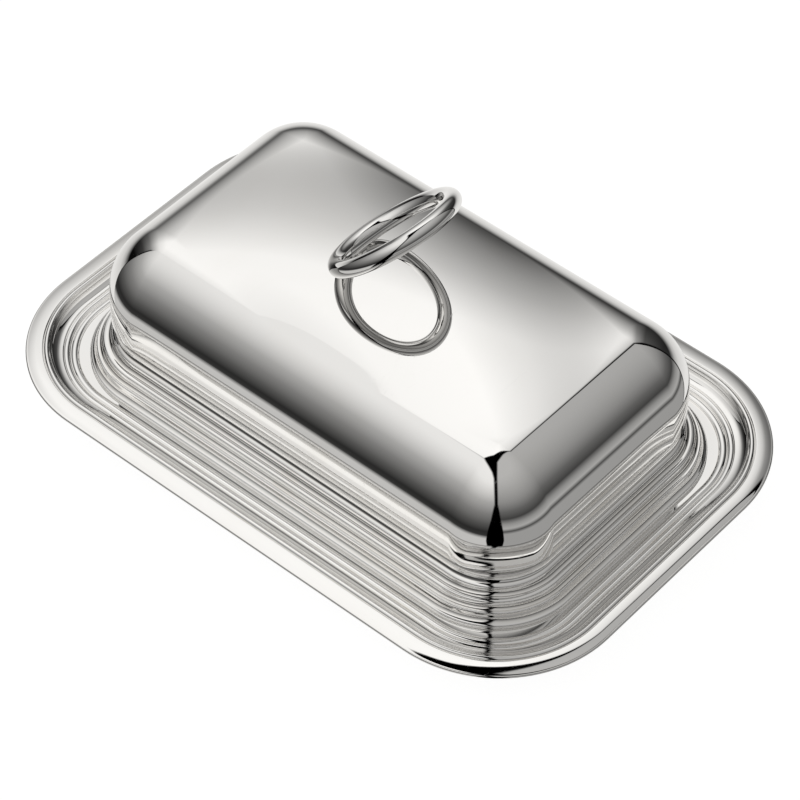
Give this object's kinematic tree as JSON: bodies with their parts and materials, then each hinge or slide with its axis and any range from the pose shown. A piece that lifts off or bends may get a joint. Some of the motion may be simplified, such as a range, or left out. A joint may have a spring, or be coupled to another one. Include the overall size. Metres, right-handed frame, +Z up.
{
  "type": "butter dish",
  "caption": "Oblong butter dish: a moulded tray with a glass liner and a lift-off domed cover that carries a leaning ring handle.",
  "frame": {"origin": "centre of the tray's flat base, on the table", "axes": "+X along the dish, towards the side that the ring rises to; +Y across the dish; +Z up, the way the cover lifts"},
  "size_m": [0.19, 0.1304, 0.0855],
  "materials": {
    "silver": "mirror-polished silver plate",
    "pressed_glass": "clear pressed glass",
    "plated_brass": "bright turned brass"
  },
  "bodies": {
    "tray": {"tray": "silver"},
    "liner": {"glass_liner": "pressed_glass"},
    "cover": {"cover_border": "silver", "cover_dome": "silver", "ring_handle": "silver", "ring_saddle": "silver", "ring_stud": "plated_brass", "ring_washer": "plated_brass", "ring_nut": "plated_brass"}
  },
  "joints": [
    {"name": "cover_lift", "type": "slide", "parent": "tray", "child": "cover", "axis": [0, 0, 1], "range_m": [0, 0.12]},
    {"name": "liner_lift", "type": "slide", "parent": "tray", "child": "liner", "axis": [0, 0, 1], "range_m": [0, 0.018]}
  ]
}
